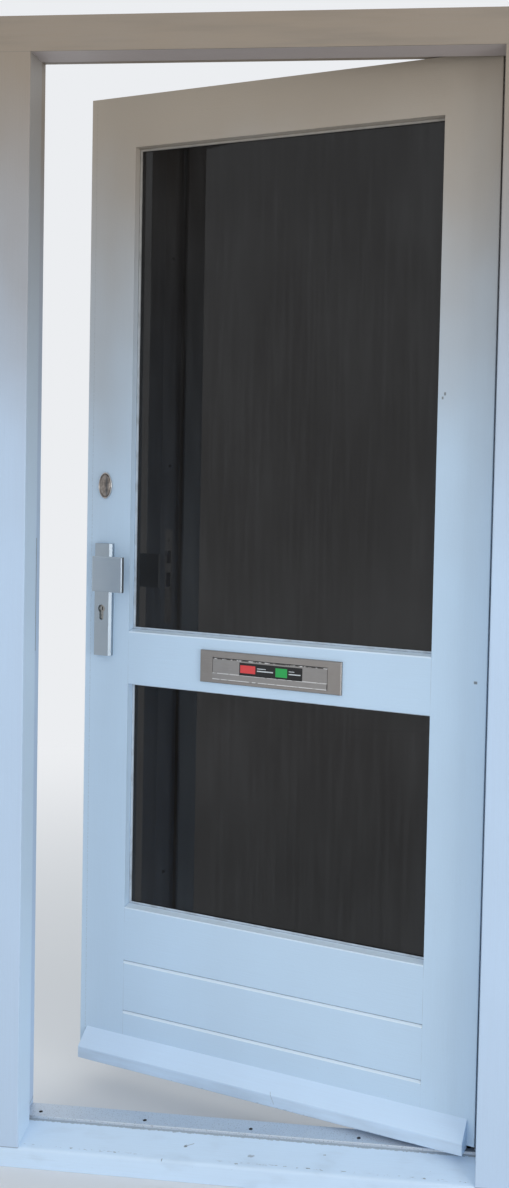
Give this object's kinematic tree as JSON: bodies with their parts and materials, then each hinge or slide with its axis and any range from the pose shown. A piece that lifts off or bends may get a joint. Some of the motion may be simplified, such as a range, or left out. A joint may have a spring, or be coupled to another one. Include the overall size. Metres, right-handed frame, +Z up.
{
  "type": "glazed front door in frame",
  "caption": "One-piece glazed timber front door ajar in its rebated frame, with lock fittings, letterplate, grooved boards and weatherboard.",
  "frame": {"origin": "middle of the sill's underside: half way across the frame and through its depth", "axes": "+Z up, +X to the right as seen from the street, +Y into the house; the leaf is hinged on the right and stands 16 degrees open inwards"},
  "size_m": [1.036, 0.4145, 2.247],
  "materials": {
    "white_paint": "solid timber under satin off-white paint, cool in daylight",
    "seal_rubber": "soft black rebate and bottom seal",
    "sealant": "pale glazing sealant",
    "spacer_aluminium": "mill-finish hollow spacer bar",
    "threshold_aluminium": "worn mill-finish strip",
    "plated_steel": "zinc-plated steel",
    "hinge_steel": "satin stainless steel",
    "clear_glass": "clear float glass with a dark room behind",
    "satin_aluminium": "satin-anodised fittings",
    "letter_aluminium": "satin-anodised letterplate",
    "cylinder_brass": "nickel-plated brass, tarnished",
    "dark_bronze": "dark weathered bronze",
    "label_plastic": "thin printed plastic label without words"
  },
  "bodies": {
    "frame": {"sill": "white_paint", "head": "white_paint", "lock_jamb": "white_paint", "hinge_jamb": "white_paint", "frame_seal": "seal_rubber", "threshold_strip": "threshold_aluminium", "threshold_screws": "plated_steel", "strike_plate": "plated_steel", "frame_screws": "plated_steel", "bottom_hinge_frame_half": "hinge_steel", "middle_hinge_frame_half": "hinge_steel", "top_hinge_frame_half": "hinge_steel", "hinge_pins": "hinge_steel"},
    "leaf": {"bottom_hinge_leaf_half": "hinge_steel", "middle_hinge_leaf_half": "hinge_steel", "top_hinge_leaf_half": "hinge_steel", "leaf_screws": "plated_steel", "hinge_stile": "white_paint", "lock_stile": "white_paint", "top_rail": "white_paint", "mid_rail": "white_paint", "upper_board": "white_paint", "middle_board": "white_paint", "lower_board": "white_paint", "upper_outer_pane": "clear_glass", "upper_inner_pane": "clear_glass", "upper_spacer": "spacer_aluminium", "upper_glazing_tape": "sealant", "upper_ledge_bead": "white_paint", "upper_side_beads": "white_paint", "upper_end_beads": "white_paint", "lower_outer_pane": "clear_glass", "lower_inner_pane": "clear_glass", "lower_spacer": "spacer_aluminium", "lower_glazing_tape": "sealant", "lower_ledge_bead": "white_paint", "lower_side_beads": "white_paint", "lower_end_beads": "white_paint", "weatherboard": "white_paint", "bottom_seal": "seal_rubber", "lock_case": "plated_steel", "cylinder_body": "cylinder_brass", "outside_plate": "satin_aluminium", "knob": "satin_aluminium", "inside_plate": "satin_aluminium", "plate_bolts": "plated_steel", "oval_rosette": "dark_bronze", "letterplate": "letter_aluminium", "inner_letter_plate": "letter_aluminium", "letter_bolts": "plated_steel"},
    "latch": {"latch_bolt": "plated_steel"},
    "deadbolt": {"deadbolt": "plated_steel"},
    "lever": {"lever_handle": "satin_aluminium", "spindle": "plated_steel", "lock_follower": "plated_steel"},
    "key_plug": {"cylinder_plug": "cylinder_brass"},
    "letter_flap": {"letter_flap": "letter_aluminium", "flap_label": "label_plastic"},
    "inner_letter_flap": {"inner_letter_flap": "letter_aluminium"}
  },
  "joints": [
    {"name": "leaf_swing", "type": "hinge", "parent": "frame", "child": "leaf", "pos_m": [0.4665, 0.064, 1.1365], "axis": [0, 0, -1], "range_deg": [-16, 84]},
    {"name": "lever_turn", "type": "hinge", "parent": "leaf", "child": "lever", "pos_m": [-0.37886, 0.30848, 1.1525], "axis": [0.2756, 0.9613, 0], "range_deg": [0, 40], "stiffness_Nm_per_rad": 1, "springref_deg": -34.38},
    {"name": "latch_slide", "type": "slide", "parent": "leaf", "child": "latch", "axis": [0.9613, -0.2756, 0], "range_m": [0, 0.012]},
    {"name": "key_turn", "type": "hinge", "parent": "leaf", "child": "key_plug", "pos_m": [-0.38878, 0.27388, 1.0805], "axis": [0.2756, 0.9613, 0], "range_deg": [0, 360]},
    {"name": "deadbolt_slide", "type": "slide", "parent": "leaf", "child": "deadbolt", "axis": [-0.9613, 0.2756, 0], "range_m": [0, 0.02]},
    {"name": "letter_flap_lift", "type": "hinge", "parent": "leaf", "child": "letter_flap", "pos_m": [-0.00148, 0.13166, 0.99115], "axis": [-0.9613, 0.2756, 0], "range_deg": [0, 85], "stiffness_Nm_per_rad": 0.06, "springref_deg": -34.38},
    {"name": "inner_flap_lift", "type": "hinge", "parent": "leaf", "child": "inner_letter_flap", "pos_m": [0.01573, 0.19169, 0.99575], "axis": [0.9613, -0.2756, 0], "range_deg": [0, 80]}
  ],
  "couplings": [
    {"joint": "latch_slide", "follows": "lever_turn", "m_per_rad": 0.017189},
    {"joint": "key_turn", "follows": "deadbolt_slide", "rad_per_m": 314.16}
  ]
}
